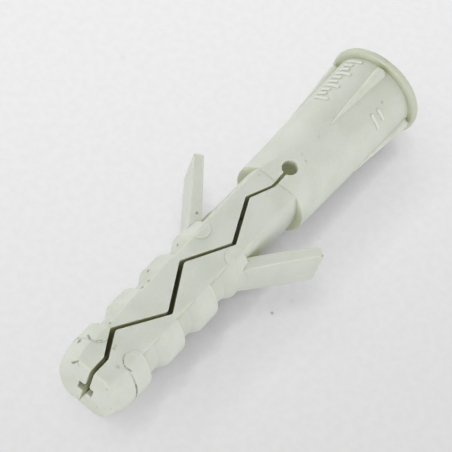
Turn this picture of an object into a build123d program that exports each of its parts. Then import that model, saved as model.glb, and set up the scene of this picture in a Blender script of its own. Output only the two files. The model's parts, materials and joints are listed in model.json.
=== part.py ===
from build123d import *
from math import asin, atan, cos, degrees, hypot, radians, sin, sqrt
import os

# A moulded nylon wall plug with a collar, 10 mm by 60 mm, lying on its side.
# It is one piece. It is built straight, with the nose's front face at x = 0, the collar
# toward +x, the slit through it from top to bottom and the two wings out to the sides in y,
# and then leaned over until nose and collar both touch the surface. Millimetres throughout.

# Overall
LENGTH = 60.0

# Collar at the mouth
COLLAR_RADIUS = 6.65
COLLAR_THICKNESS = 1.0
COLLAR_EDGE_ROUND = 0.45

# Sleeve between the collar and the legs, slightly wider toward the collar
SHOULDER_X = 36.2
SLEEVE_RADIUS_AT_SHOULDER = 5.08
SLEEVE_RADIUS_AT_COLLAR = 5.6

# Flat lands along the top and bottom of both legs
LAND_HEIGHT = 4.17

# Ramp that lifts each land into the round sleeve
LAND_RAMP_STEP = 0.1
LAND_RAMP_LENGTH = 5.0

# Barbs on the sides of the legs: a full round crest, a square back, a ramp in front
BARB_RADIUS = 5.0
BARB_COUNT = 4
BARB_PITCH = 6.48
FIRST_BARB_BACK_X = 5.95
BARB_CREST_LENGTH = 2.72
BARB_RAMP_LENGTH = 1.35
CORE_RADIUS = 4.2

# Nose in front of the first barb: it narrows only from side to side, in a bow
NOSE_FACE_HALF_WIDTH = 4.1
NOSE_BOW_X = 1.3
NOSE_BOW_HALF_WIDTH = 4.72
NOSE_END_RADIUS = 4.94
NOSE_EDGE_ROUND = 0.4

# Bowed flanks of the legs between the last barb and the sleeve
FLANK_REACH = 4.0
FLANK_EDGE_REACH = 2.95

# Wings that stop the plug turning in its hole: their outer faces grow out of the last barb, a
# little before its back, where they lie at the root's y, and the wings are lower there
WING_ROOT_Y = 5.25
WING_ROOT_LEAD = 1.8
WING_ROOT_HALF_HEIGHT = 2.75
WING_ROOT_ROUND = 1.1
WING_RISE_LENGTH = 5.3
WING_HALF_HEIGHT = 3.1
WING_OUTER_ANGLE = 35.07
WING_OUTER_LENGTH = 11.11
WING_ROOT_THICKNESS = 1.65
WING_TIP_THICKNESS = 1.3
WING_CORNER_ROUND = 0.9
WING_TIP_ROUND = 0.5

# Zigzag slit, from the keyhole to the nose: the x of each bend, its reach to the side, and how far
# its right side lags toward the collar, which makes every other stretch a little narrower
KEYHOLE_X = 38.75
KEYHOLE_RADIUS = 1.03
SLIT_START_X = 35.5
SLIT_FIRST_BEND_X = 31.9
SLIT_BEND_PITCH = 6.45
SLIT_REACH_AT_SLEEVE = 1.35
SLIT_REACH_AT_NOSE = 1.88
SLIT_BENDS = 5
SLIT_END_X = 2.6
SLIT_WIDTH_AT_SLEEVE = 0.44
SLIT_WIDTH_AT_NOSE = 0.6
SLIT_SKEW = 0.18
SLIT_BEND_ROUND = 0.55

# Screw bore: a straight run from the mouth, a taper, then a cross-shaped pilot hole
BORE_RADIUS = 3.1
BORE_STRAIGHT_END_X = 41.5
BORE_TAPER_END_X = 22.0
PILOT_RADIUS = 0.7
MOUTH_CHAMFER = 0.35
CROSS_ARM_REACH = 1.08
CROSS_ARM_TOP = 0.42
CROSS_ARM_BOTTOM = -1.27
CROSS_Y = 0.12

# Under the cross the slit closes to a thin web that holds the two legs together at the nose:
# one side of this wedge is upright and the other slants
NOSE_WEDGE_WIDTH = 0.84
NOSE_WEDGE_SIDE_Y = 0.4
NOSE_WEB = 0.4

# Tapered ribs under the collar
RIB_COUNT = 4
RIB_LENGTH = 11.3
RIB_GAP_TO_COLLAR = 0.5
RIB_END_RADIUS = 0.85
RIB_START_RADIUS = 0.08
RIB_END_ROUND = 0.45

# Round ejector marks on the top lands of the first and last barbs
EJECTOR_RADIUS = 1.42
EJECTOR_Y = 2.9
EJECTOR_RISE = 0.16

# Cutters run this far past the body
OVERRUN = 1.0

COLLAR_BACK_X = LENGTH - COLLAR_THICKNESS
LAST_BARB_BACK_X = FIRST_BARB_BACK_X + (BARB_COUNT - 1) * BARB_PITCH
NOSE_LENGTH = FIRST_BARB_BACK_X - BARB_CREST_LENGTH
LAND_HALF_WIDTH = sqrt(BARB_RADIUS**2 - LAND_HEIGHT**2)


def sleeve_radius(x):
    """Outer radius of the sleeve at x."""
    share = (x - SHOULDER_X) / (COLLAR_BACK_X - SHOULDER_X)
    return SLEEVE_RADIUS_AT_SHOULDER + share * (SLEEVE_RADIUS_AT_COLLAR - SLEEVE_RADIUS_AT_SHOULDER)


def block(x_low, x_high, half_width, z_low, z_high):
    """Box centred on the plug's vertical middle plane."""
    size = (x_high - x_low, 2 * half_width, z_high - z_low)
    middle = ((x_low + x_high) / 2, 0, (z_low + z_high) / 2)
    return Pos(*middle) * Box(*size)


def turned(outline):
    """Solid turned about the plug's axis from (x, radius) points."""
    closed = [(outline[0][0], 0)] + outline + [(outline[-1][0], 0)]
    profile = make_face(Polyline(*closed, close=True))
    return revolve(profile, axis=Axis.X)


def barb_backs():
    """The x of each barb's square back, from the nose."""
    return [FIRST_BARB_BACK_X + i * BARB_PITCH for i in range(BARB_COUNT)]


# Nose that bows in toward a narrow front face
def nose():
    widths = [(0, NOSE_FACE_HALF_WIDTH), (NOSE_BOW_X, NOSE_BOW_HALF_WIDTH), (NOSE_LENGTH, NOSE_END_RADIUS)]
    sections = [Pos(x, 0, 0) * (Plane.YZ * Ellipse(width, NOSE_END_RADIUS)) for x, width in widths]
    return loft(sections)


# Barbs, turned in one
def barbs():
    outline = [(NOSE_LENGTH, BARB_RADIUS)]
    for i, back in enumerate(barb_backs()):
        if i > 0:
            crest_start = back - BARB_CREST_LENGTH
            outline += [(crest_start - BARB_RAMP_LENGTH, CORE_RADIUS), (crest_start, BARB_RADIUS)]
        outline += [(back, BARB_RADIUS), (back, CORE_RADIUS)]
    outline.append((back + BARB_PITCH / 2, CORE_RADIUS))
    return turned(outline)


# Flat-topped strip that joins the barbs on each leg
def land_strip():
    return block(NOSE_LENGTH, LAST_BARB_BACK_X, LAND_HALF_WIDTH, -LAND_HEIGHT, LAND_HEIGHT)


# Legs behind the last barb, with bowed flanks
def leg_flanks():
    bow = FLANK_REACH - FLANK_EDGE_REACH
    flank_radius = (LAND_HEIGHT**2 + bow**2) / (2 * bow)
    offset = flank_radius - FLANK_REACH
    section = Plane.YZ * (Pos(-offset, 0) * Circle(flank_radius) & Pos(offset, 0) * Circle(flank_radius))
    start = LAST_BARB_BACK_X - BARB_CREST_LENGTH / 2
    return Pos(start, 0, 0) * extrude(section, amount=SHOULDER_X - start)


def legs():
    slab = block(0, SHOULDER_X, COLLAR_RADIUS, -LAND_HEIGHT, LAND_HEIGHT)
    front_edges = slab.edges().filter_by(Axis.Y).group_by(Axis.X)[0]
    return (nose() + barbs() + land_strip() + leg_flanks()) & fillet(front_edges, NOSE_EDGE_ROUND)


# Round marks that stand a little above the lands
def ejector_marks():
    top = LAND_HEIGHT + EJECTOR_RISE
    crests = None
    for back in (FIRST_BARB_BACK_X, LAST_BARB_BACK_X):
        middle = back - BARB_CREST_LENGTH / 2
        crest = turned([(back - BARB_CREST_LENGTH, BARB_RADIUS), (back, BARB_RADIUS)])
        for side in (-1, 1):
            pin = Pos(middle, side * EJECTOR_Y, top / 2) * Cylinder(EJECTOR_RADIUS, top)
            mark = crest & pin
            crests = mark if crests is None else crests + mark
    return crests


# Sleeve with ramps that carry the lands up into its round wall
def sleeve():
    outline = [(SHOULDER_X, SLEEVE_RADIUS_AT_SHOULDER), (COLLAR_BACK_X, SLEEVE_RADIUS_AT_COLLAR)]
    body = turned(outline + [(COLLAR_BACK_X + COLLAR_THICKNESS / 2, SLEEVE_RADIUS_AT_COLLAR)])
    low = LAND_HEIGHT + LAND_RAMP_STEP
    high = sleeve_radius(SHOULDER_X + LAND_RAMP_LENGTH)
    over = COLLAR_RADIUS + OVERRUN
    wedge = Polyline((SHOULDER_X - OVERRUN, low - OVERRUN * (high - low) / LAND_RAMP_LENGTH),
                     (SHOULDER_X + LAND_RAMP_LENGTH, high),
                     (SHOULDER_X + LAND_RAMP_LENGTH, over),
                     (SHOULDER_X - OVERRUN, over), close=True)
    cutter = extrude(Plane.XZ * make_face(wedge), amount=over, both=True)
    return body - cutter - mirror(cutter, Plane.XY)


def collar():
    disc = turned([(COLLAR_BACK_X, COLLAR_RADIUS), (LENGTH, COLLAR_RADIUS)])
    rims = disc.edges().filter_by(GeomType.CIRCLE)
    return fillet(rims, COLLAR_EDGE_ROUND)


# One rib: a slim cone laid along the sleeve, with a round end just short of the collar
def rib():
    end = COLLAR_BACK_X - RIB_GAP_TO_COLLAR
    start = end - RIB_LENGTH
    rise = sleeve_radius(end) - sleeve_radius(start)
    along = hypot(RIB_LENGTH, rise)
    cone = Pos(0, 0, along / 2) * Cone(RIB_START_RADIUS, RIB_END_RADIUS, along)
    cone = fillet(cone.edges().filter_by(GeomType.CIRCLE).sort_by(Axis.Z)[-1], RIB_END_ROUND)
    lean = degrees(asin(rise / along))
    return Pos(start, 0, sleeve_radius(start)) * Rot(0, 90 - lean, 0) * cone


def ribs():
    first = rib()
    return [Rot(360 * i / RIB_COUNT, 0, 0) * first for i in range(RIB_COUNT)]


# One wing from the side: lower at its root, round at its corners
def wing_outline():
    upper = [(0, WING_ROOT_HALF_HEIGHT), (WING_RISE_LENGTH, WING_HALF_HEIGHT),
             (WING_OUTER_LENGTH, WING_HALF_HEIGHT)]
    lower = [(x, -z) for x, z in reversed(upper)]
    outline = make_face(Polyline(*upper, *lower, close=True))
    outline = fillet(outline.vertices().group_by(Axis.X)[0], WING_ROOT_ROUND)
    return fillet(outline.vertices().group_by(Axis.X)[-1], WING_CORNER_ROUND)


# One wing in plan: outer face at its angle, inner face closer in toward the tip
def wing(side):
    angle = radians(WING_OUTER_ANGLE)
    along = Vector(cos(angle), sin(angle))
    inward = Vector(sin(angle), -cos(angle))
    outer_root = Vector(LAST_BARB_BACK_X, WING_ROOT_Y) - along * WING_ROOT_LEAD
    outer_tip = outer_root + along * WING_OUTER_LENGTH
    inner_tip = outer_tip + inward * WING_TIP_THICKNESS
    inner_root = outer_root + inward * WING_ROOT_THICKNESS
    plan = make_face(Polyline(outer_root, outer_tip, inner_tip, inner_root, close=True))
    blade = extrude(plan, amount=WING_HALF_HEIGHT, both=True)
    tip_middle = (outer_tip + inner_tip) * 0.5
    uprights = blade.edges().filter_by(Axis.Z).sort_by_distance(tip_middle)[:2]
    blade = fillet(uprights, WING_TIP_ROUND)
    outer_face = Plane(origin=(outer_root.X, outer_root.Y, 0), x_dir=(along.X, along.Y, 0),
                       z_dir=(inward.X, inward.Y, 0))
    blade = blade & extrude(outer_face * wing_outline(), amount=WING_ROOT_THICKNESS + OVERRUN, both=True)
    return blade if side > 0 else mirror(blade, Plane.XZ)


# Zigzag slit: one filleted line each side of its middle
def slit_line(side):
    points = [(KEYHOLE_X, 0), (SLIT_START_X, 0)]
    for i in range(SLIT_BENDS):
        share = i / (SLIT_BENDS - 1)
        reach = SLIT_REACH_AT_SLEEVE + share * (SLIT_REACH_AT_NOSE - SLIT_REACH_AT_SLEEVE)
        points.append((SLIT_FIRST_BEND_X - i * SLIT_BEND_PITCH, reach if i % 2 == 0 else -reach))
    points += [(SLIT_END_X, 0), (-OVERRUN, 0)]
    offset = []
    for i, (x, y) in enumerate(points):
        share = (KEYHOLE_X - x) / KEYHOLE_X
        width = SLIT_WIDTH_AT_SLEEVE + share * (SLIT_WIDTH_AT_NOSE - SLIT_WIDTH_AT_SLEEVE)
        slope = abs(y) / (SLIT_BEND_PITCH / 2)
        offset.append((x - side * SLIT_SKEW / 2, y + side * width / 2 * hypot(1, slope)))
    return FilletPolyline(*offset, radius=SLIT_BEND_ROUND)


# Lower half of the slit at the nose: a wedge that stops short of the bottom land
def nose_wedge():
    slant_top_y = NOSE_WEDGE_SIDE_Y - NOSE_WEDGE_WIDTH
    triangle = Polyline((slant_top_y, 0), (NOSE_WEDGE_SIDE_Y, 0),
                        (NOSE_WEDGE_SIDE_Y, NOSE_WEB - LAND_HEIGHT), close=True)
    return Pos(-OVERRUN, 0, 0) * extrude(Plane.YZ * make_face(triangle), amount=SLIT_END_X + OVERRUN)


def slit():
    left = slit_line(1)
    right = slit_line(-1)
    ends = [Line(left @ 0, right @ 0), Line(left @ 1, right @ 1)]
    outline = make_face([*left.edges(), *right.edges(), *ends])
    groove = extrude(outline, amount=COLLAR_RADIUS, both=True)
    web = block(-2 * OVERRUN, SLIT_END_X, NOSE_WEDGE_WIDTH, -2 * COLLAR_RADIUS, 0)
    keyhole = Pos(KEYHOLE_X, 0, 0) * Cylinder(KEYHOLE_RADIUS, 2 * COLLAR_RADIUS)
    return groove - web + nose_wedge() + keyhole


# Screw bore with a cross-shaped pilot hole through the nose
def bore():
    mouth = BORE_RADIUS + MOUTH_CHAMFER
    outline = [(-OVERRUN, PILOT_RADIUS), (BORE_TAPER_END_X, PILOT_RADIUS),
               (BORE_STRAIGHT_END_X, BORE_RADIUS), (LENGTH - MOUTH_CHAMFER, BORE_RADIUS),
               (LENGTH, mouth), (LENGTH + OVERRUN, mouth)]
    arms = block(-OVERRUN, BORE_TAPER_END_X, CROSS_ARM_REACH, CROSS_ARM_BOTTOM, CROSS_ARM_TOP)
    return turned(outline) + Pos(0, CROSS_Y, 0) * arms


def straight_plug():
    body = legs() + ejector_marks() + sleeve() + collar()
    for piece in [*ribs(), wing(1), wing(-1)]:
        body = body + piece
    return body - bore() - slit()


# Angle at which the nose's round bottom edge and the collar's rim both touch the surface
def lean_angle():
    run = COLLAR_BACK_X + COLLAR_EDGE_ROUND - NOSE_EDGE_ROUND
    return degrees(atan((COLLAR_RADIUS - LAND_HEIGHT) / run))


def at_rest(plug):
    leaned = Rot(0, -lean_angle(), 0) * plug
    box = leaned.bounding_box()
    return Pos(-(box.min.X + box.max.X) / 2, 0, -box.min.Z) * leaned


def main():
    os.makedirs("parts", exist_ok=True)
    export_step(at_rest(straight_plug()), "parts/plug.step")


if __name__ == "__main__":
    main()
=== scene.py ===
"""Looks of a nylon wall plug with a collar: moulded nylon, raised ticks, dust, and a plain studio."""

import json
from math import cos, radians, sin

import bpy
from bpy.props import FloatProperty, FloatVectorProperty, PointerProperty
from bpy.types import Operator, Panel, PropertyGroup
from mathutils import Matrix, Vector


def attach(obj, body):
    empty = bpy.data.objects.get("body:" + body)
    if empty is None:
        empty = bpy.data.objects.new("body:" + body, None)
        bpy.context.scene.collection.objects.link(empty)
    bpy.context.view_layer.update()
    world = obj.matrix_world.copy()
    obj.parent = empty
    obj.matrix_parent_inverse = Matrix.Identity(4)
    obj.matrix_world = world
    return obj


bl_info = {
    "name": "Nylon Wall Plug",
    "version": (1, 0, 0),
    "blender": (4, 5, 0),
    "location": "3D View > Sidebar > Wall Plug",
    "description": "Finishes a moulded nylon wall plug and sets it in a plain studio",
    "category": "Object",
}

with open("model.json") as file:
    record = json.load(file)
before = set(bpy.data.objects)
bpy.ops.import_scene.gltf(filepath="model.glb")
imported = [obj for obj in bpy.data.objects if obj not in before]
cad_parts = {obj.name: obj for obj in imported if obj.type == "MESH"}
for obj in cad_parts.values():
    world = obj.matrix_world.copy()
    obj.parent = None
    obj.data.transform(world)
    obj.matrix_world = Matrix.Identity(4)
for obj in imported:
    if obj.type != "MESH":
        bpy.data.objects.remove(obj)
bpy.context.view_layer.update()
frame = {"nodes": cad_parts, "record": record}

MM = 0.001

MOUNTS = {mount["name"]: mount for mount in frame["record"]["mounts"]}

# The plug's own measures, from its nose to its collar, in millimetres
PLUG_LENGTH = 60.0
SHOULDER_X = 36.2
SLEEVE_RADIUS_AT_SHOULDER = 5.08
COLLAR_BACK_X = 59.0
SLEEVE_RADIUS_AT_COLLAR = 5.6
KEYHOLE_X = 38.75
BORE_RADIUS = MOUNTS["bore"]["dims"]["r_mm"]


def plug_placement():
    """Matrix from the plug's own millimetres (along, left, up) to the row's metres."""
    axis = Vector(MOUNTS["bore"]["axis"]).normalized()
    side = Vector((0, 1, 0))
    up = axis.cross(side)
    in_bore = Vector(MOUNTS["bore"]["pos_m"])
    head = Vector(MOUNTS["collar_head"]["pos_m"])
    mouth = in_bore + axis * (head - in_bore).dot(axis)
    turn = Matrix((axis, side, up)).transposed().to_4x4()
    nose = mouth - axis * PLUG_LENGTH * MM
    return Matrix.Translation(nose) @ turn @ Matrix.Scale(MM, 4)


PLUG = plug_placement()

# Direction in which the nose points
NOSE_SIDE = -(PLUG.to_3x3() @ Vector((1, 0, 0))).normalized()


def at(x, y, z):
    """A point given in the plug's own millimetres, in the row's metres."""
    return PLUG @ Vector((x, y, z))


# Settings that a user would change

class NylonSettings(PropertyGroup):
    colour: FloatVectorProperty(
        name="Colour", description="Colour of the nylon", subtype="COLOR",
        size=3, min=0, max=1, default=(0.62, 0.645, 0.584))
    blotch_colour: FloatVectorProperty(
        name="Blotch colour", description="Greener colour of the broad soft blotches", subtype="COLOR",
        size=3, min=0, max=1, default=(0.572, 0.603, 0.527))
    # Painted shade: a warmer, darker colour toward the collar, also the colour of the painted glow away
    # from the keyhole
    warm_shade_and_glow_colour: FloatVectorProperty(
        name="Thin colour", description="Warmer colour of the collar, where light comes through",
        subtype="COLOR", size=3, min=0, max=1, default=(0.51, 0.532, 0.435))
    # Painted highlight: a paler colour mixed onto the edges that stand out
    edge_highlight_colour: FloatVectorProperty(
        name="Edge colour", description="Paler colour of the edges that stand out", subtype="COLOR",
        size=3, min=0, max=1, default=(0.72, 0.745, 0.67))
    # Painted shade: an olive colour mixed into deep corners and the slit's walls, also the colour of the
    # painted glow round the keyhole
    hollow_shade_and_glow_colour: FloatVectorProperty(
        name="Hollow colour", description="Olive colour of deep corners and of the slit's walls",
        subtype="COLOR", size=3, min=0, max=1, default=(0.44, 0.45, 0.255))
    # Colour of the dark specks and of the dark streaks, some of which run along creases
    dust_colour: FloatVectorProperty(
        name="Dust colour", description="Colour of the specks and of the dirt in the creases",
        subtype="COLOR", size=3, min=0, max=1, default=(0.16, 0.16, 0.11))
    depth_of_glow: FloatProperty(
        name="Depth of glow", description="How far light spreads inside the nylon",
        subtype="DISTANCE", min=0, default=0.9 * MM)
    # Painted glows: the nylon glows by itself to stand in for light that comes through its walls or
    # scatters onto it
    hollow_glow: FloatProperty(
        name="Hollow glow", description="Faint light that comes through the walls into deep hollows",
        min=0, default=0.012)
    nose_glow: FloatProperty(
        name="Nose glow", description="The same light in the cross at the nose, where the walls are thin",
        min=0, default=0.06)
    wedge_glow: FloatProperty(
        name="Wedge glow", description="The same light in the shallow wedge under that cross",
        min=0, default=0.2)
    keyhole_glow: FloatProperty(
        name="Keyhole glow", description="The same light round the keyhole, seen through the sleeve",
        min=0, default=0.05)
    bore_glow: FloatProperty(
        name="Bore glow", description="Light that comes through the sleeve's wall into the screw bore",
        min=0, default=0.15)
    shoulder_glow: FloatProperty(
        name="Shoulder glow", description="Light that the legs scatter onto the sleeve's front face",
        min=0, default=0.15)
    edge_round: FloatProperty(
        name="Edge rounding", description="Radius that the mould leaves on every edge",
        subtype="DISTANCE", min=0, default=0.28 * MM)


class TickSettings(PropertyGroup):
    rise: FloatProperty(
        name="Rise", description="How far the ticks stand above the sleeve",
        subtype="DISTANCE", min=0, default=0.19 * MM)
    width: FloatProperty(
        name="Width", description="Width of one tick",
        subtype="DISTANCE", min=0, default=0.42 * MM)
    pitch: FloatProperty(
        name="Pitch", description="Distance from one tick to the next",
        subtype="DISTANCE", min=0, default=0.85 * MM)


class StudioSettings(PropertyGroup):
    floor_colour: FloatVectorProperty(
        name="Floor", description="Colour of the floor", subtype="COLOR",
        size=3, min=0, max=1, default=(0.79, 0.79, 0.79))
    shadow_reach: FloatProperty(
        name="Shadow reach", description="How far from the plug its soft shadow shows",
        subtype="DISTANCE", min=0, default=11 * MM)
    contact_reach: FloatProperty(
        name="Contact reach", description="How far the darker shadow where the plug nearly touches shows",
        subtype="DISTANCE", min=0, default=4.2 * MM)
    floor_size: FloatProperty(
        name="Floor size", description="Width of the floor", subtype="DISTANCE", default=1.6)
    field_of_view: FloatProperty(
        name="Field of view", description="Angle that the camera sees", subtype="ANGLE",
        default=radians(11.976))
    camera_roll: FloatProperty(
        name="Camera roll", description="Turn of the camera about its own line of sight",
        subtype="ANGLE", default=radians(24.168))


# Raised ticks like those of a plain scale, between the left rib and the top one: the first one's
# place along the plug, how many there are, which of them are long, and the angles that they span
SCALE_START_X = 50.5
SCALE_TICKS = 10
SCALE_LONG_EVERY = 3
SCALE_FROM_ANGLE = 35.0
SCALE_LONG_SWEEP = 26.0
SCALE_SHORT_SWEEP = 17.0

# Two more ticks on the other side of the top rib, as (along, first angle, sweep)
PAIR_OF_TICKS = ((52.7, 120.0, 24.0), (54.0, 121.0, 18.0))

# Steps in which a tick is spun round the sleeve, the depth that its foot is sunk, and its edges:
# how wide they are rounded, in how many steps, and up to which angle they are shaded smooth
TICK_STEPS = 14
TICK_FOOT = 0.1 * MM
TICK_EDGE = 0.1 * MM
TICK_EDGE_STEPS = 2
TICK_SMOOTH = radians(50)

# Nylon's unevenness, as (scale per millimetre, detail), what share of the broad one goes into the
# blotches and of the fine one into the relief, and where the blotches turn from one colour to the other
BROAD_NOISE = (0.26, 3.0)
FINE_NOISE = (2.6, 2.0)
GRAIN_NOISE = (7.0, 1.0)
BROAD_SHARE = 0.7
FINE_SHARE = 0.55
BLOTCH_SPAN = (0.34, 0.62)

# Its roughness: between which values of the fine noise it changes, and from what to what
ROUGHNESS_SPAN = (0.3, 0.7)
ROUGHNESS_RANGE = (0.4, 0.52)

# Its relief, its bend of light, and the light inside it: how much there is, and how far each of
# red, green and blue goes, in shares of the depth of glow
RELIEF_STRENGTH = 0.25
RELIEF_HEIGHT = 0.02 * MM
NYLON_IOR = 1.53
INNER_LIGHT = 0.45
INNER_LIGHT_REACH = (1.0, 1.0, 0.5)

# How many rays look for rounded edges and for open sky
BEVEL_SAMPLES = 6
OPENNESS_SAMPLES = 8

# Painted highlights on edges and painted olive shade in hollows: how far they look round, between
# which shares of open space they come in, and how strong the highlights are
EDGE_HIGHLIGHT_REACH = 0.35 * MM
EDGE_HIGHLIGHT_SPAN = (0.8, 0.45)
EDGE_HIGHLIGHT_STRENGTH = 0.6
HOLLOW_REACH = 2.2 * MM
HOLLOW_SPAN = (0.8, 0.2)

# Warmer painted shade: where it comes in along the sleeve, how far it goes there, and where it is full
SHADE_ON_SLEEVE = (SHOULDER_X + 6, COLLAR_BACK_X)
SHADE_ON_SLEEVE_SHARE = 0.22
SHADE_ON_COLLAR = (COLLAR_BACK_X - 0.3, COLLAR_BACK_X + 0.2)

# Where the painted glow in the hollows shows, as (none yet, full) in the plug's own millimetres:
# in the cross at the nose, in the wedge under it, and round the keyhole
CROSS_SPAN = (1.6, 0.2)
WEDGE_SPAN = (1.6, 1.0)
WEDGE_UP_SPAN = (-1.4, -2.0)
KEYHOLE_SPAN = (KEYHOLE_X - 5, KEYHOLE_X - 2)

# The same in the bore: at its wall, from its end, and fading to a share of itself at its mouth
BORE_WALL_SPAN = (BORE_RADIUS + 0.4, BORE_RADIUS + 0.15)
BORE_END_SPAN = (KEYHOLE_X - 1.5, KEYHOLE_X)
BORE_MOUTH_SPAN = (PLUG_LENGTH, KEYHOLE_X + 8)
BORE_MOUTH_SHARE = 0.2

# The same on the sleeve's front face: how squarely it faces the nose, and where it lies
FACING_NOSE = (0.7, 0.95)
SHOULDER_FROM = (SHOULDER_X - 2, SHOULDER_X - 0.5)
SHOULDER_UP_TO = (SHOULDER_X + 2, SHOULDER_X + 0.5)

# Dust that lies on the nylon, as (along, left, up, radius, darkness) in the plug's own millimetres
SPECKS = (
    (3.28, 4.47, 2.22, 0.26, 0.6), (2.6, 3.92, 3.02, 0.4, 1.0), (2.9, 4.12, 2.85, 0.34, 1.0),
    (5.78, 3.72, 3.33, 0.2, 0.5), (6.45, 2.61, 4.17, 0.24, 0.7), (3.85, 1.75, 4.33, 0.2, 0.5),
    (4.2, 0.1, 4.17, 0.34, 0.35), (4.62, 0.22, 4.17, 0.3, 0.3), (2.68, -1.72, 4.17, 0.36, 0.35),
    (0.05, 2.2, 4.0, 0.2, 0.6), (0.0, -2.4, 3.18, 0.3, 0.4), (0.0, -2.05, -2.16, 0.2, 0.5),
    (0.0, -2.94, -1.25, 0.18, 0.4), (0.0, -3.79, -0.13, 0.2, 0.5), (15.9, 4.08, 2.59, 0.3, 1.0),
    (14.77, 3.13, 2.8, 0.28, 0.9), (13.54, 3.08, 2.85, 0.32, 1.0), (21.59, 3.86, 2.01, 0.3, 1.0),
    (26.32, 4.75, 2.9, 0.3, 0.9), (32.54, 10.03, 3.08, 0.16, 0.6), (32.7, -10.24, 2.99, 0.26, 0.8),
    (35.43, 2.28, 4.17, 0.16, 0.4), (44.76, 0.01, 5.27, 0.3, 0.2), (41.16, 0.03, 5.19, 0.3, 0.2),
    (40.76, -0.94, 5.1, 0.3, 0.35), (55.27, -2.66, 4.82, 0.28, 0.5), (48.41, 0.32, 5.33, 0.16, 0.3),
)

# Dark strokes and thin dark lines, as two ends in the plug's own millimetres, half width and
# how dark they are
STREAKS = (
    ((3.75, 3.62, 3.45), (3.28, 3.01, 3.99), 0.16, 0.85),
    ((3.28, 3.01, 3.99), (3.29, 2.47, 4.33), 0.08, 0.5),
    ((3.42, 2.25, 4.33), (3.95, 1.79, 4.33), 0.1, 0.6),
    ((0.0, 2.75, 2.85), (0.0, 2.36, 3.66), 0.18, 1.0),
    ((0.0, 2.36, 3.66), (0.1, 2.19, 4.0), 0.14, 0.8),
    ((0.0, 2.1, 3.7), (0.0, 1.82, 3.36), 0.1, 0.5),
    ((4.5, -1.25, 4.18), (3.9, -1.45, 4.18), 0.08, 0.5),
    ((3.9, -1.45, 4.18), (3.45, -1.95, 4.18), 0.09, 0.6),
    ((3.33, -2.25, 4.2), (3.3, -2.74, 4.15), 0.11, 0.75),
    ((3.3, -2.74, 4.15), (3.48, -3.11, 3.91), 0.12, 0.8),
    ((3.3, -3.5, 3.6), (3.28, -3.95, 3.05), 0.09, 0.3),
    ((3.27, -3.95, 3.05), (3.25, -4.4, 2.35), 0.1, 0.45),
    ((3.25, -4.4, 2.35), (3.23, -4.85, 0.9), 0.15, 1.0),
    ((3.23, -4.85, 0.9), (3.23, -4.95, 0.1), 0.1, 0.7),
    ((59.7, 2.3, 6.22), (59.7, 1.3, 6.5), 0.05, 0.5),
    ((59.7, 1.2, 6.52), (59.6, 0.1, 6.64), 0.06, 0.45),
)

# How the marks fade at their ragged rims: scale of the raggedness per millimetre, how far it
# strays, the dark core as (share of the size, width added to it), and the width added outside
SPECK_RIM = (6.0, 0.24, (0.25, 0.1), 0.12)
STREAK_RIM = (5.0, 0.16, (0.4, 0.05), 0.14)
DUST_STRENGTH = 0.88

# Brightness of the light tent overhead and at the horizon, how much more of it comes from the
# nose's side and from the left, and the backdrop that shows
TENT_TOP = 0.0
TENT_HORIZON = 2.22
TENT_SIDE = (-0.5, 0.28, 0.0)
BACKDROP = 0.8

# Square soft key lamp: its place, width and power
KEY_PLACE = (0.12, -0.1, 0.7)
KEY_SIZE = 0.45
KEY_POWER = 1.3

# What the floor shows: its brightness from the dark side to the bright one, half the width of the
# turn between them, and where the bright side lies
FLOOR_SHADES = (0.9, 1.1)
FLOOR_TURN = 0.05
BRIGHT_SIDE = (0.45, 0.89, 0.0)

# Its wide shadow and its contact shadow: how dark each is, the exponent of its fall-off, and the
# side that the light comes from
SHADOW_DEPTH = 0.37
SHADOW_FALLOFF = 1.2
CONTACT_DEPTH = 0.59
CONTACT_FALLOFF = 0.9
LIGHT_SIDE = (-0.35, 0.8, 0.4)

# The shadow is fainter at the nose: where along the plug it eases off, and to what share
NOSE_EASE = (-0.034, -0.006)
NOSE_SHARE = 0.3

# Under the plug itself: how far it looks up, between which shares of open sky it darkens, to what
UNDER_REACH = 9.0 * MM
UNDER_SPAN = (0.1, 0.34)
UNDER_COLOUR = (0.06, 0.063, 0.03, 1)

# The floor's soft patches, as (scale, detail), the share of its colour that the dark ones have,
# how rough it is, and the share of its light that it throws back up on the plug
PATCH_NOISE = (9.0, 2.0)
PATCH_SHADE = 0.985
FLOOR_ROUGHNESS = 0.9
FLOOR_BOUNCE = 0.9

# Grain of the paper that the plug lies on, as (scale, detail), between which values of the noise
# it turns from dark to pale, and how far it strays from even
PAPER_NOISE = (900.0, 3.0)
PAPER_SPAN = (0.3, 0.7)
PAPER_SPREAD = 0.016

# Crumbs of dust on the floor, as (place, radius, how dark), and where each one's rim starts and
# ends, in shares of its radius
CRUMBS = (((-0.00322, -0.00928, 0.0), 0.00022, 0.4), ((0.00002, -0.01008, 0.0), 0.00034, 0.07),
          ((0.01011, -0.00706, 0.0), 0.0003, 0.06), ((0.01327, 0.02845, 0.0), 0.0005, 0.04))
CRUMB_RIM_START = 0.5
CRUMB_RIM_END = 1.4

# Camera in the plug's own millimetres, and how near it sees, in metres
CAMERA_EYE = (-106.13, -43.31, 226.31)
CAMERA_TARGET = (29.18, 1.59, 0.0)
CAMERA_NEAR = 0.01


# Shader building helpers

def set_socket(tree, socket, value):
    """Links a socket, or sets it to a plain value."""
    if isinstance(value, bpy.types.NodeSocket):
        tree.links.new(value, socket)
    else:
        socket.default_value = value


def math(tree, operation, *values, clamp=False):
    """Output of a Math node."""
    node = tree.nodes.new("ShaderNodeMath")
    node.operation = operation
    node.use_clamp = clamp
    for socket, value in zip(node.inputs, values):
        set_socket(tree, socket, value)
    return node.outputs[0]


def product(tree, first, *others):
    """Product of several values."""
    for other in others:
        first = math(tree, "MULTIPLY", first, other)
    return first


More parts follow.
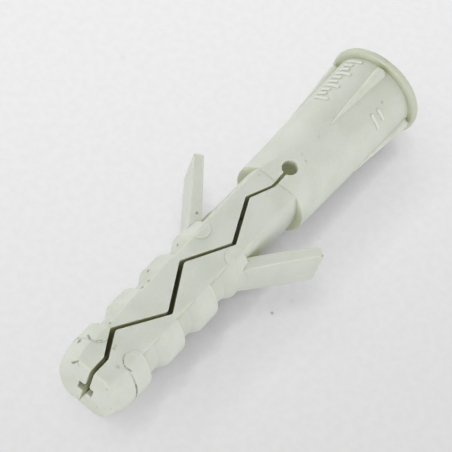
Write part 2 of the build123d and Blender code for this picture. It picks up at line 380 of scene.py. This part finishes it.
def vector_math(tree, operation, *values):
    """Output of a Vector Math node, which is a plain value for some operations."""
    node = tree.nodes.new("ShaderNodeVectorMath")
    node.operation = operation
    for socket, value in zip(node.inputs, values):
        set_socket(tree, socket, value)
    return node.outputs["Value"] if operation in ("LENGTH", "DOT_PRODUCT", "DISTANCE") else node.outputs[0]


def scaled(tree, vector, share):
    """A vector or colour times a plain value."""
    result = vector_math(tree, "SCALE", vector)
    set_socket(tree, result.node.inputs["Scale"], share)
    return result


def mix_colour(tree, share, first, second):
    """The first colour at a share of 0, the second at 1."""
    node = tree.nodes.new("ShaderNodeMix")
    node.data_type = "RGBA"
    set_socket(tree, node.inputs["Factor"], share)
    set_socket(tree, node.inputs["A"], first)
    set_socket(tree, node.inputs["B"], second)
    return node.outputs["Result"]


def ramp(tree, value, start, end, from_start=0.0, to_end=1.0):
    """Smooth change from one result, where the value is at its start, to another at its end."""
    node = tree.nodes.new("ShaderNodeMapRange")
    node.interpolation_type = "SMOOTHSTEP"
    for name, number in (("Value", value), ("From Min", start), ("From Max", end),
                         ("To Min", from_start), ("To Max", to_end)):
        set_socket(tree, node.inputs[name], number)
    return node.outputs["Result"]


def noise(tree, place, scale, detail=2.0):
    """Soft noise from 0 to 1."""
    node = tree.nodes.new("ShaderNodeTexNoise")
    set_socket(tree, node.inputs["Vector"], place)
    node.inputs["Scale"].default_value = scale
    node.inputs["Detail"].default_value = detail
    return node.outputs["Fac"]


def occlusion(tree, distance, normal=None, inside=False):
    """How open a surface is, from 0 in a deep corner to 1 in the open."""
    node = tree.nodes.new("ShaderNodeAmbientOcclusion")
    node.samples = OPENNESS_SAMPLES
    node.inside = inside
    node.inputs["Distance"].default_value = distance
    if normal is not None:
        set_socket(tree, node.inputs["Normal"], normal)
    return node.outputs["AO"]


def new_group(name, inputs, outputs):
    """Node group with (name, socket type, default) inputs and (name, socket type) outputs."""
    group = bpy.data.node_groups.new(name, "ShaderNodeTree")
    for label, kind, value in inputs:
        socket = group.interface.new_socket(label, in_out="INPUT", socket_type=kind)
        socket.default_value = value
    for label, kind in outputs:
        group.interface.new_socket(label, in_out="OUTPUT", socket_type=kind)
    return group, group.nodes.new("NodeGroupInput"), group.nodes.new("NodeGroupOutput")


def place_group(tree, group, **inputs):
    """Node that holds a group, with its inputs linked or set."""
    node = tree.nodes.new("ShaderNodeGroup")
    node.node_tree = group
    for key, value in inputs.items():
        set_socket(tree, node.inputs[key.replace("_", " ")], value)
    return node


def new_material(name):
    """New material, with its node tree and the Principled shader that it ends in."""
    material = bpy.data.materials.new(name)
    material.use_nodes = True
    tree = material.node_tree
    tree.nodes.clear()
    output = tree.nodes.new("ShaderNodeOutputMaterial")
    shader = tree.nodes.new("ShaderNodeBsdfPrincipled")
    tree.links.new(shader.outputs[0], output.inputs["Surface"])
    return material, tree, shader


def opaque(colour, share=1.0):
    """A share of a setting's colour, as a shader takes it."""
    return (*[min(1.0, share * part) for part in colour], 1)


# Shared effects

def plug_spot():
    """Group: the spot on the plug in its own millimetres, from a place in the row's metres."""
    group, given, made = new_group(
        "plug spot",
        [("Place", "NodeSocketVector", (0, 0, 0))],
        [("Spot", "NodeSocketVector"), ("Along", "NodeSocketFloat"), ("Left", "NodeSocketFloat"),
         ("Up", "NodeSocketFloat")])
    mapping = group.nodes.new("ShaderNodeMapping")
    mapping.vector_type = "TEXTURE"
    mapping.inputs["Location"].default_value = PLUG.to_translation()
    mapping.inputs["Rotation"].default_value = PLUG.to_euler()
    mapping.inputs["Scale"].default_value = (MM, MM, MM)
    group.links.new(given.outputs["Place"], mapping.inputs["Vector"])
    parts = group.nodes.new("ShaderNodeSeparateXYZ")
    group.links.new(mapping.outputs["Vector"], parts.inputs[0])
    group.links.new(mapping.outputs["Vector"], made.inputs["Spot"])
    for axis, name in (("X", "Along"), ("Y", "Left"), ("Z", "Up")):
        group.links.new(parts.outputs[axis], made.inputs[name])
    return group


def moulded_surface():
    """Group: how nylon varies over a moulded face, from a spot in millimetres."""
    group, given, made = new_group(
        "moulded surface",
        [("Spot", "NodeSocketVector", (0, 0, 0))],
        [("Mottle", "NodeSocketFloat"), ("Height", "NodeSocketFloat"), ("Roughness", "NodeSocketFloat")])
    spot = given.outputs["Spot"]
    broad = noise(group, spot, *BROAD_NOISE)
    fine = noise(group, spot, *FINE_NOISE)
    grain = noise(group, spot, *GRAIN_NOISE)
    mottle = math(group, "ADD", product(group, broad, BROAD_SHARE), product(group, fine, 1 - BROAD_SHARE))
    height = math(group, "ADD", product(group, fine, FINE_SHARE), product(group, grain, 1 - FINE_SHARE))
    roughness = ramp(group, fine, *ROUGHNESS_SPAN, *ROUGHNESS_RANGE)
    group.links.new(ramp(group, mottle, *BLOTCH_SPAN), made.inputs["Mottle"])
    group.links.new(height, made.inputs["Height"])
    group.links.new(roughness, made.inputs["Roughness"])
    return group


def fill_mark(group, given, made, off, size, rim):
    """Sets a mark's mask from the distance off its middle: dark inside, ragged and soft outside."""
    raggedness, stray, core, fade = rim
    ragged = math(group, "MULTIPLY_ADD", noise(group, given.outputs["Spot"], raggedness), stray, off)
    outer = math(group, "ADD", size, fade)
    inner = math(group, "MULTIPLY_ADD", size, *core)
    mask = product(group, ramp(group, ragged, outer, inner), given.outputs["Darkness"])
    group.links.new(mask, made.inputs["Mask"])


def speck():
    """Group: mask of one ragged speck of dust round a centre, in millimetres."""
    group, given, made = new_group(
        "speck",
        [("Spot", "NodeSocketVector", (0, 0, 0)), ("Centre", "NodeSocketVector", (0, 0, 0)),
         ("Radius", "NodeSocketFloat", 0.2), ("Darkness", "NodeSocketFloat", 1.0)],
        [("Mask", "NodeSocketFloat")])
    off = vector_math(group, "DISTANCE", given.outputs["Spot"], given.outputs["Centre"])
    fill_mark(group, given, made, off, given.outputs["Radius"], SPECK_RIM)
    return group


def streak():
    """Group: mask of a thin ragged stroke between two ends, in millimetres."""
    group, given, made = new_group(
        "streak",
        [("Spot", "NodeSocketVector", (0, 0, 0)), ("Start", "NodeSocketVector", (0, 0, 0)),
         ("Finish", "NodeSocketVector", (1, 0, 0)), ("Half Width", "NodeSocketFloat", 0.1),
         ("Darkness", "NodeSocketFloat", 1.0)],
        [("Mask", "NodeSocketFloat")])
    run = vector_math(group, "SUBTRACT", given.outputs["Finish"], given.outputs["Start"])
    gone = vector_math(group, "SUBTRACT", given.outputs["Spot"], given.outputs["Start"])
    share = math(group, "DIVIDE", vector_math(group, "DOT_PRODUCT", gone, run),
                 vector_math(group, "DOT_PRODUCT", run, run), clamp=True)
    off = vector_math(group, "DISTANCE", gone, scaled(group, run, share))
    fill_mark(group, given, made, off, given.outputs["Half Width"], STREAK_RIM)
    return group


def dust(speck_group, streak_group):
    """Group: mask of all the dark specks and streaks."""
    group, given, made = new_group(
        "dust",
        [("Spot", "NodeSocketVector", (0, 0, 0))],
        [("Mask", "NodeSocketFloat")])
    spot = given.outputs["Spot"]
    marks = []
    for along, left, up, radius, darkness in SPECKS:
        marks.append(place_group(group, speck_group, Spot=spot, Centre=(along, left, up),
                                 Radius=radius, Darkness=darkness))
    for start, finish, half_width, darkness in STREAKS:
        marks.append(place_group(group, streak_group, Spot=spot, Start=start, Finish=finish,
                                 Half_Width=half_width, Darkness=darkness))
    mask = 0.0
    for mark in marks:
        mask = math(group, "MAXIMUM", mask, mark.outputs["Mask"])
    group.links.new(mask, made.inputs["Mask"])
    return group


# Nylon

def nylon_colour(tree, settings, spot, face, hollow, dirt):
    """Colour of the nylon: blotched, with painted shade warmer toward the collar and olive in hollows, and
    painted edge highlights.
    """
    along = spot.outputs["Along"]
    # Painted shade, warmer and darker, toward the collar and on it
    collar_shade = math(tree, "MAXIMUM", ramp(tree, along, *SHADE_ON_COLLAR),
                ramp(tree, along, *SHADE_ON_SLEEVE, 0.0, SHADE_ON_SLEEVE_SHARE))
    # Painted highlight: a paler colour on the edges that stand out into the open
    edge = ramp(tree, occlusion(tree, EDGE_HIGHLIGHT_REACH, inside=True), *EDGE_HIGHLIGHT_SPAN)
    blotched = face.outputs["Mottle"]
    colour = mix_colour(tree, blotched, opaque(settings.blotch_colour), opaque(settings.colour))
    for share, other in (
            (collar_shade, settings.warm_shade_and_glow_colour),
            (product(tree, edge, EDGE_HIGHLIGHT_STRENGTH), settings.edge_highlight_colour),
            (hollow, settings.hollow_shade_and_glow_colour),
            (product(tree, dirt, DUST_STRENGTH), settings.dust_colour)):
        colour = mix_colour(tree, share, colour, opaque(other))
    return colour


def nylon_glow(tree, settings, spot, hollow, normal):
    """Colour and strength of the painted glow that stands for faint light through the walls into the
    hollows.
    """
    along = spot.outputs["Along"]
    at_keyhole = ramp(tree, along, *KEYHOLE_SPAN)
    colour = mix_colour(tree, at_keyhole, opaque(settings.warm_shade_and_glow_colour), opaque(settings.hollow_shade_and_glow_colour))

    in_hollow = math(tree, "ADD", ramp(tree, along, *CROSS_SPAN, settings.hollow_glow, settings.nose_glow),
                     product(tree, at_keyhole, settings.keyhole_glow))
    in_wedge = product(tree, ramp(tree, along, *WEDGE_SPAN),
                       ramp(tree, spot.outputs["Up"], *WEDGE_UP_SPAN))
    in_hollow = math(tree, "MULTIPLY_ADD", in_wedge, settings.wedge_glow, in_hollow)

    off_axis = vector_math(tree, "MULTIPLY", spot.outputs["Spot"], (0.0, 1.0, 1.0))
    off_axis = vector_math(tree, "LENGTH", off_axis)
    in_bore = product(tree, ramp(tree, off_axis, *BORE_WALL_SPAN), ramp(tree, along, *BORE_END_SPAN),
                      ramp(tree, along, *BORE_MOUTH_SPAN, BORE_MOUTH_SHARE, 1.0))

    facing = vector_math(tree, "DOT_PRODUCT", normal, NOSE_SIDE)
    on_shoulder = product(tree, ramp(tree, facing, *FACING_NOSE), ramp(tree, along, *SHOULDER_FROM),
                          ramp(tree, along, *SHOULDER_UP_TO))

    strength = product(tree, hollow, in_hollow)
    for mask, glow in ((in_bore, settings.bore_glow), (on_shoulder, settings.shoulder_glow)):
        strength = math(tree, "MAXIMUM", strength, product(tree, mask, glow))
    return colour, strength


def nylon_relief(tree, settings, face):
    """Normal of the nylon: edges softened by the mould, and a fine uneven surface."""
    bevel = tree.nodes.new("ShaderNodeBevel")
    bevel.samples = BEVEL_SAMPLES
    bevel.inputs["Radius"].default_value = settings.edge_round
    bump = tree.nodes.new("ShaderNodeBump")
    bump.inputs["Strength"].default_value = RELIEF_STRENGTH
    bump.inputs["Distance"].default_value = RELIEF_HEIGHT
    set_socket(tree, bump.inputs["Height"], face.outputs["Height"])
    set_socket(tree, bump.inputs["Normal"], bevel.outputs["Normal"])
    return bump.outputs["Normal"]


def nylon_material(settings, spot_group, surface_group, dust_group):
    """Satin nylon that light goes a little way into."""
    material, tree, shader = new_material("nylon")
    here = tree.nodes.new("ShaderNodeTexCoord")
    spot = place_group(tree, spot_group, Place=here.outputs["Object"])
    face = place_group(tree, surface_group, Spot=spot.outputs["Spot"])
    dirt = place_group(tree, dust_group, Spot=spot.outputs["Spot"]).outputs["Mask"]
    # How closed in each spot is: it places the painted olive shade in hollows and the painted glows there
    hollow = ramp(tree, occlusion(tree, HOLLOW_REACH), *HOLLOW_SPAN)
    glow_colour, glow = nylon_glow(tree, settings, spot, hollow, here.outputs["Normal"])
    for name, value in (("Base Color", nylon_colour(tree, settings, spot, face, hollow, dirt)),
                        ("Roughness", face.outputs["Roughness"]),
                        ("Normal", nylon_relief(tree, settings, face)),
                        ("Emission Color", glow_colour),
                        ("Emission Strength", glow),
                        ("IOR", NYLON_IOR),
                        ("Subsurface Weight", INNER_LIGHT),
                        ("Subsurface Radius", INNER_LIGHT_REACH),
                        ("Subsurface Scale", settings.depth_of_glow)):
        set_socket(tree, shader.inputs[name], value)
    return material


# Floor

def floor_light(tree, settings, place):
    """How bright the floor shows: brighter to one side, with shadows, paper grain and crumbs."""
    toward_bright = vector_math(tree, "DOT_PRODUCT", place, BRIGHT_SIDE)
    lit = ramp(tree, toward_bright, -FLOOR_TURN, FLOOR_TURN, *FLOOR_SHADES)

    toward_light = vector_math(tree, "NORMALIZE", LIGHT_SIDE)
    from_middle = vector_math(tree, "DOT_PRODUCT", place, (1.0, 0.0, 0.0))
    eased = ramp(tree, from_middle, *NOSE_EASE, NOSE_SHARE, 1.0)
    for reach, depth, falloff in ((settings.shadow_reach, SHADOW_DEPTH, SHADOW_FALLOFF),
                                  (settings.contact_reach, CONTACT_DEPTH, CONTACT_FALLOFF)):
        closed = math(tree, "SUBTRACT", 1.0, occlusion(tree, reach, toward_light))
        closed = product(tree, math(tree, "POWER", closed, falloff), eased)
        lit = product(tree, lit, math(tree, "MULTIPLY_ADD", closed, -depth, 1.0))

    grain = noise(tree, place, *PAPER_NOISE)
    lit = product(tree, lit, ramp(tree, grain, *PAPER_SPAN, 1.0 - PAPER_SPREAD, 1.0 + PAPER_SPREAD))
    for crumb, radius, dark in CRUMBS:
        off = vector_math(tree, "DISTANCE", place, crumb)
        shade = ramp(tree, off, CRUMB_RIM_START * radius, CRUMB_RIM_END * radius, 1.0 - dark, 1.0)
        lit = product(tree, lit, shade)
    return lit


def floor_material(settings):
    """Floor that lights the plug as it stands, and shows a pale ground with a soft shadow."""
    material, tree, shader = new_material("studio floor")
    place = tree.nodes.new("ShaderNodeTexCoord").outputs["Object"]
    patches = noise(tree, place, *PATCH_NOISE)
    base = settings.floor_colour
    black = (0, 0, 0, 1)

    path = tree.nodes.new("ShaderNodeLightPath")
    seen = math(tree, "MAXIMUM", path.outputs["Is Camera Ray"], path.outputs["Is Glossy Ray"])
    seen = math(tree, "MAXIMUM", seen, path.outputs["Is Transmission Ray"])

    ground = mix_colour(tree, patches, opaque(base, PATCH_SHADE), opaque(base))
    ground = scaled(tree, ground, floor_light(tree, settings, place))
    under = ramp(tree, occlusion(tree, UNDER_REACH), *UNDER_SPAN)
    shown = mix_colour(tree, under, UNDER_COLOUR, ground)
    thrown = mix_colour(tree, patches, opaque(base, PATCH_SHADE * FLOOR_BOUNCE), opaque(base, FLOOR_BOUNCE))
    for name, value in (("Base Color", mix_colour(tree, seen, thrown, black)),
                        ("Emission Color", mix_colour(tree, seen, black, shown)),
                        ("Emission Strength", 1.0),
                        ("Roughness", FLOOR_ROUGHNESS),
                        ("Specular IOR Level", 0.0)):
        set_socket(tree, shader.inputs[name], value)
    return material


# Raised ticks

def sleeve_radius(along):
    """Outer radius of the sleeve at a place along the plug, in millimetres."""
    share = (along - SHOULDER_X) / (COLLAR_BACK_X - SHOULDER_X)
    return SLEEVE_RADIUS_AT_SHOULDER + share * (SLEEVE_RADIUS_AT_COLLAR - SLEEVE_RADIUS_AT_SHOULDER)


def only(piece):
    """Selects one object and makes it the active one."""
    bpy.ops.object.select_all(action="DESELECT")
    piece.select_set(True)
    bpy.context.view_layer.objects.active = piece


def add_tick(along, first_angle, sweep, settings):
    """Bar across the sleeve: its section is spun about the plug's axis, then its edges rounded."""
    turn = radians(first_angle)
    ahead = Vector((1, 0, 0))
    outward = Vector((0, cos(turn), sin(turn)))
    tall = settings.rise + TICK_FOOT
    middle = sleeve_radius(along) + (settings.rise - TICK_FOOT) / 2 / MM
    facing = Matrix((ahead, outward, ahead.cross(outward))).transposed().to_4x4()
    section_turn = (PLUG.to_quaternion().to_matrix().to_4x4() @ facing).to_euler()
    bpy.ops.object.select_all(action="DESELECT")
    bpy.ops.mesh.primitive_plane_add(
        size=1, location=at(along, *(middle * outward)[1:]), rotation=section_turn)
    tick = bpy.context.active_object
    tick.scale = (settings.width, tall, 1)
    bpy.ops.object.transform_apply(location=True, rotation=True, scale=True)
    bpy.ops.object.mode_set(mode="EDIT")
    bpy.ops.mesh.select_all(action="SELECT")
    bpy.ops.mesh.spin(steps=TICK_STEPS, angle=radians(sweep), center=at(along, 0, 0), axis=NOSE_SIDE)
    bpy.ops.mesh.select_all(action="SELECT")
    bpy.ops.mesh.normals_make_consistent(inside=False)
    bpy.ops.object.mode_set(mode="OBJECT")
    rounding = tick.modifiers.new("rounding", "BEVEL")
    rounding.width = TICK_EDGE
    rounding.segments = TICK_EDGE_STEPS
    rounding.limit_method = "ANGLE"
    bpy.ops.object.modifier_apply(modifier=rounding.name)
    bpy.ops.object.shade_smooth_by_angle(angle=TICK_SMOOTH)
    return tick


def scale_ticks(settings):
    """The ticks of the plain scale, as (along, first angle, sweep)."""
    places = []
    for i in range(SCALE_TICKS):
        sweep = SCALE_LONG_SWEEP if i % SCALE_LONG_EVERY == 0 else SCALE_SHORT_SWEEP
        places.append((SCALE_START_X + i * settings.pitch / MM, SCALE_FROM_ANGLE, sweep))
    return places


# Studio

def set_world(scene):
    """Surround that is brighter toward the horizon than overhead, as in a light tent."""
    world = bpy.data.worlds.new("studio")
    world.use_nodes = True
    tree = world.node_tree
    background = tree.nodes["Background"]
    direction = tree.nodes.new("ShaderNodeTexCoord").outputs["Generated"]
    height = math(tree, "ABSOLUTE", vector_math(tree, "DOT_PRODUCT", direction, (0.0, 0.0, 1.0)))
    strength = math(tree, "MULTIPLY_ADD", height, TENT_TOP - TENT_HORIZON, TENT_HORIZON)
    low = math(tree, "SUBTRACT", 1.0, height)
    side = vector_math(tree, "DOT_PRODUCT", direction, TENT_SIDE)
    strength = math(tree, "MULTIPLY_ADD", product(tree, low, low), side, strength)
    path = tree.nodes.new("ShaderNodeLightPath")
    seen = math(tree, "MAXIMUM", path.outputs["Is Camera Ray"], path.outputs["Is Transmission Ray"])
    shown = math(tree, "MULTIPLY_ADD", seen, math(tree, "SUBTRACT", BACKDROP, strength), strength)
    background.inputs["Color"].default_value = (1, 1, 1, 1)
    tree.links.new(shown, background.inputs["Strength"])
    scene.world = world


def add_lamp(scene, name, place, size, power):
    """Square soft lamp that looks at the middle of the plug."""
    data = bpy.data.lights.new(name, "AREA")
    data.size = size
    data.energy = power
    lamp = bpy.data.objects.new(name, data)
    lamp.location = place
    lamp.rotation_euler = (-Vector(place)).to_track_quat("-Z", "Y").to_euler()
    scene.collection.objects.link(lamp)


def set_camera(scene, settings):
    """Camera that looks down on the plug from above its nose."""
    eye = at(*CAMERA_EYE)
    target = at(*CAMERA_TARGET)
    camera = bpy.data.objects.new("camera", bpy.data.cameras.new("camera"))
    camera.data.angle = settings.field_of_view
    camera.data.clip_start = CAMERA_NEAR
    facing = (target - eye).to_track_quat("-Z", "Y").to_matrix().to_4x4()
    camera.matrix_world = Matrix.Translation(eye) @ facing @ Matrix.Rotation(settings.camera_roll, 4, "Z")
    scene.collection.objects.link(camera)
    scene.camera = camera


# Operators

class PLUG_OT_nylon_body(Operator):
    """Give the moulded plug its nylon"""
    bl_idname = "plug.nylon_body"
    bl_label = "Nylon body"

    def execute(self, context):
        material = nylon_material(context.scene.plug_nylon, plug_spot(), moulded_surface(),
                                  dust(speck(), streak()))
        body = frame["nodes"]["plug"]
        body.data.materials.clear()
        body.data.materials.append(material)
        return {"FINISHED"}


class PLUG_OT_sleeve_ticks(Operator):
    """Raise the plain ticks on the sleeve"""
    bl_idname = "plug.sleeve_ticks"
    bl_label = "Sleeve ticks"

    def execute(self, context):
        settings = context.scene.plug_ticks
        places = [*scale_ticks(settings), *PAIR_OF_TICKS]
        ticks = [add_tick(*place, settings) for place in places]
        only(ticks[0])
        for tick in ticks:
            tick.select_set(True)
        bpy.ops.object.join()
        bpy.ops.object.origin_set(type="ORIGIN_CURSOR")
        piece = context.active_object
        piece.name = "sleeve_ticks"
        piece.data.materials.append(bpy.data.materials["nylon"])
        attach(piece, "root")
        return {"FINISHED"}


class PLUG_OT_studio(Operator):
    """Lay the floor, hang the lamp and set the camera"""
    bl_idname = "plug.studio"
    bl_label = "Studio"

    def execute(self, context):
        settings = context.scene.plug_studio
        bpy.ops.object.select_all(action="DESELECT")
        bpy.ops.mesh.primitive_plane_add(size=settings.floor_size, location=(0, 0, 0))
        floor = context.active_object
        floor.name = "studio_floor"
        floor.data.materials.append(floor_material(settings))
        set_world(context.scene)
        add_lamp(context.scene, "key", KEY_PLACE, KEY_SIZE, KEY_POWER)
        set_camera(context.scene, settings)
        context.scene.view_settings.view_transform = "Standard"
        return {"FINISHED"}


class PLUG_PT_panel(Panel):
    bl_idname = "PLUG_PT_panel"
    bl_label = "Wall Plug"
    bl_space_type = "VIEW_3D"
    bl_region_type = "UI"
    bl_category = "Wall Plug"

    def draw(self, context):
        for settings in (context.scene.plug_nylon, context.scene.plug_ticks, context.scene.plug_studio):
            box = self.layout.box()
            for name in settings.__annotations__:
                box.prop(settings, name)
        for operator in (PLUG_OT_nylon_body, PLUG_OT_sleeve_ticks, PLUG_OT_studio):
            self.layout.operator(operator.bl_idname)


CLASSES = (NylonSettings, TickSettings, StudioSettings, PLUG_OT_nylon_body, PLUG_OT_sleeve_ticks,
           PLUG_OT_studio, PLUG_PT_panel)


def register():
    for cls in CLASSES:
        bpy.utils.register_class(cls)
    bpy.types.Scene.plug_nylon = PointerProperty(type=NylonSettings)
    bpy.types.Scene.plug_ticks = PointerProperty(type=TickSettings)
    bpy.types.Scene.plug_studio = PointerProperty(type=StudioSettings)


def unregister():
    del bpy.types.Scene.plug_studio
    del bpy.types.Scene.plug_ticks
    del bpy.types.Scene.plug_nylon
    for cls in reversed(CLASSES):
        bpy.utils.unregister_class(cls)


def main():
    register()
    bpy.ops.object.select_all(action="DESELECT")
    bpy.ops.plug.nylon_body()
    bpy.ops.plug.sleeve_ticks()
    bpy.ops.plug.studio()


if __name__ == "__main__":
    main()
